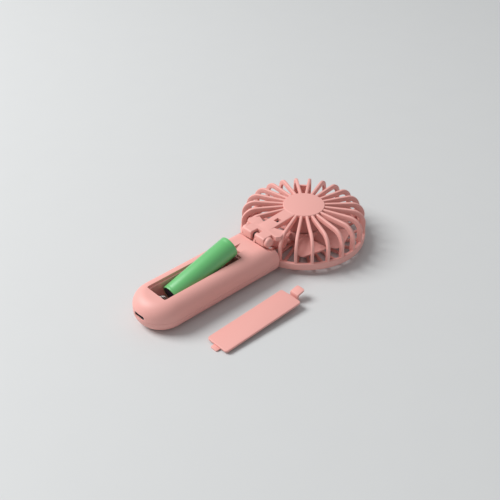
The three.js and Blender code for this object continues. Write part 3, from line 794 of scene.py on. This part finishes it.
def port_cutter():
    """What the charging socket's slot takes out of the handle's round end."""
    mid_z = middle_mm("usb_shell").z
    outline = rounded(rectangle(-PORT_HALF, PORT_HALF, mid_z - PORT_HIGH, mid_z + PORT_HIGH), 1.7, 8)
    return loft("port", [[(x, y, z) for y, z in outline] for x in (-FAR, PORT_BACK)])


def handle_rear_shell():
    under_top = HANDLE_HIGH - 1
    tub_half = BAY_HALF + TUB_WALL
    below = block("below", -FAR, FAR, -FAR, FAR, -1, SEAM_Z + SEAM_HALF)
    shell = carve(handle_form(0), handle_form(HANDLE_WALL), below)
    shell = fuse(
        shell,
        block("tub", BAY_START - 1.6, BAY_END + 1.6, -tub_half, tub_half, TUB_BOTTOM, under_top),
        block("latch_block", BAY_END, BAY_END + 10.6, -5.6, 5.6, 15.6, under_top),
    )
    shell = carve(
        shell,
        *bay_cutters(),
        cross_rod("hinge_clearance", HINGE.x, HINGE.z, KNUCKLE_SWEEP, -FAR, FAR, segments=96),
        block("leaf_opening", -47, -40, -1.4, 1.4, 12.9, 21),
        port_cutter(),
    )
    finish(shell, "handle_back", pink, "handle", "handle_rear_shell")


def handle_front_shell():
    above = block("above", -FAR, FAR, -FAR, FAR, SEAM_Z - SEAM_HALF, FAR)
    shell = carve(handle_form(0), handle_form(HANDLE_WALL), above)
    cutters = []
    for node, r in (("power_button", 5), ("indicator_lens", 1.3)):
        place = middle_mm(node)
        cutters.append(post("hole", place.x, place.y, r, -1, 3, 64))
    for node in ("shell_screw_1", "shell_screw_2"):
        place = middle_mm(node)
        shell = fuse(shell, post("boss", place.x, place.y, 3.3, 1, 5, 48))
        cutters.append(post("head_hole", place.x, place.y, 2.3, -1, 3.2, 48))
        cutters.append(post("shank_hole", place.x, place.y, 1.2, 2, 6, 48))
    finish(carve(shell, *cutters), "handle_front", pink, "handle", "handle_front_shell")


def power_button():
    low, high = box_mm("power_button")
    flange_z = 2.1
    button = turned("button", [
        (0, low.z + 0.25), (2.4, low.z + 0.12), (3.7, low.z), *arc(4.1, low.z + 0.5, 0.5, -90, 0, 4),
        (4.6, flange_z), (5.6, flange_z), (5.6, high.z), (0, high.z),
    ], 96)
    button.data.transform(Matrix.Translation((middle_mm("power_button").x, 0, 0)))
    finish(button, "power_key", pink, "button", "power_button")


# ---------------------------------------------------------------- cell and cover
def cell_matrix():
    """From the cell's own frame, with +X from its base to its button, to the CAD frame."""
    half_base = 0.35
    base = middle_mm("cell_base")
    axis = (middle_mm("cell_button") - base).normalized()
    turn = Vector((0, 0, 1)).rotation_difference(axis).to_matrix().to_4x4()
    return Matrix.Translation(base - axis * half_base) @ turn


def groove(r, z, half_wide, deep):
    """Profile points of a shallow ring pressed into the wrap."""
    return [(r, z - half_wide), (r - deep, z), (r, z + half_wide)]


def cell_sleeve():
    r = box_mm("cell_sleeve")[1].y
    end = 50.4
    base_edge = 0.45
    shoulder = 0.9
    sleeve = turned("sleeve", [
        (0, 0.7), (r - 0.75, 0.7), (r - 0.75, 0.12), *arc(r - base_edge, base_edge, base_edge, -90, 0, 4),
        *groove(r, 1.9, 0.3, 0.06), *groove(r, end - 3.2, 0.5, 0.1),
        *arc(r - shoulder, end - shoulder, shoulder, 0, 90, 8),
        (4.6, end), (4, end - 0.25), (4, end - 0.6), (0, end - 0.6),
    ], 128)
    sleeve.data.transform(cell_matrix())
    finish(sleeve, "cell_wrap", green, "cell", "cell_sleeve")


def cover_latch(long):
    """The spring latch: a U bend under the plate's end, with a finger tab that leaves it."""
    tab_top = COVER_THICK + TAB_RISE
    tab_end = long + TAB_END
    wide = LATCH_HALF - 0.4
    spring = side_slab("spring", rounded([
        (long - 0.6, 0.1), (long - 0.6, COVER_THICK - 0.3), (long + 0.5, 1.0), (long + 1.0, 0.2),
        (long + 1.1, -2.4), (long + 1.6, -2.95), (long + 2.1, -2.4), (long + 2.2, tab_top - 1),
        (long + 2.6, tab_top), (tab_end, tab_top + 1), (tab_end, tab_top - 0.1), (long + 3.6, tab_top - 1.3),
        (long + 3.3, -2.6), (long + 2.6, -3.86), (long + 0.8, -3.86), (long - 0.1, -2.8), (long - 0.2, 0.1),
    ], 0.4), -4, 4)
    trim = slab("trim", rounded(rectangle(long - 3, tab_end, -wide, wide), 1.6, 6), -5, 5)
    return soften(combine(spring, trim, "INTERSECT"), 0.2)


def battery_cover():
    long = BAY_END - BAY_START - 0.2
    half = BAY_HALF - 0.1
    wide = TONGUE_HALF
    plate = slab("plate", rounded(rectangle(0, long, -half, half), 1.8, 6), 0, COVER_THICK)
    tongue = slab("tongue", rounded(rectangle(-2.7, 3, -wide, wide), 0.8), -TONGUE_DEEP, 0)
    step = block("step", 0.1, 2.4, -wide + 0.1, wide - 0.1, -TONGUE_DEEP, 0.2)
    cover = fuse(soften(plate, 0.35, 3), fuse(soften(tongue, 0.2), step), cover_latch(long))
    cover.data.transform(Matrix.Translation(COVER_AT) @ Matrix.Rotation(COVER_TILT, 4, "Y"))
    finish(cover, "loose_cover", pink, "cover", "battery_cover")


def contact_spring():
    turns = 4
    steps = 24
    wire_r = 0.35
    start_r = 4.6
    taper = 1.9
    low, high = box_mm("contact_spring")
    start_x = low.x + wire_r
    long = high.x - low.x - 2 * wire_r
    side = Vector((1, 0, 0))
    rings = []
    for k in range(turns * steps + 1):
        t = k / (turns * steps)
        a = 2 * math.pi * turns * t
        r = start_r - taper * t
        centre = Vector((start_x + long * t, r * math.cos(a), BAY_AXIS_Z + r * math.sin(a)))
        out = Vector((0, math.cos(a), math.sin(a)))
        rings.append([
            centre + wire_r * (out * math.cos(b) + side * math.sin(b))
            for b in (2 * math.pi * j / 10 for j in range(10))
        ])
    finish(loft("coil", rings), "bay_spring", spring_steel, "handle", "contact_spring")


rear_grille()
front_grille()
front_badge()
motor_cup()
fan_rotor()
pin_caps()
handle_rear_shell()
handle_front_shell()
power_button()
cell_sleeve()
battery_cover()
contact_spring()

# The CAD nodes that stay: their own shapes, with these finishes.
slots = {row["node"]: row["material_slot"] for row in frame["record"]["subparts"]}
for node, obj in frame["nodes"].items():
    if not obj.hide_render:
        for slot in obj.material_slots:
            slot.material = LOOKS[slots[node]]
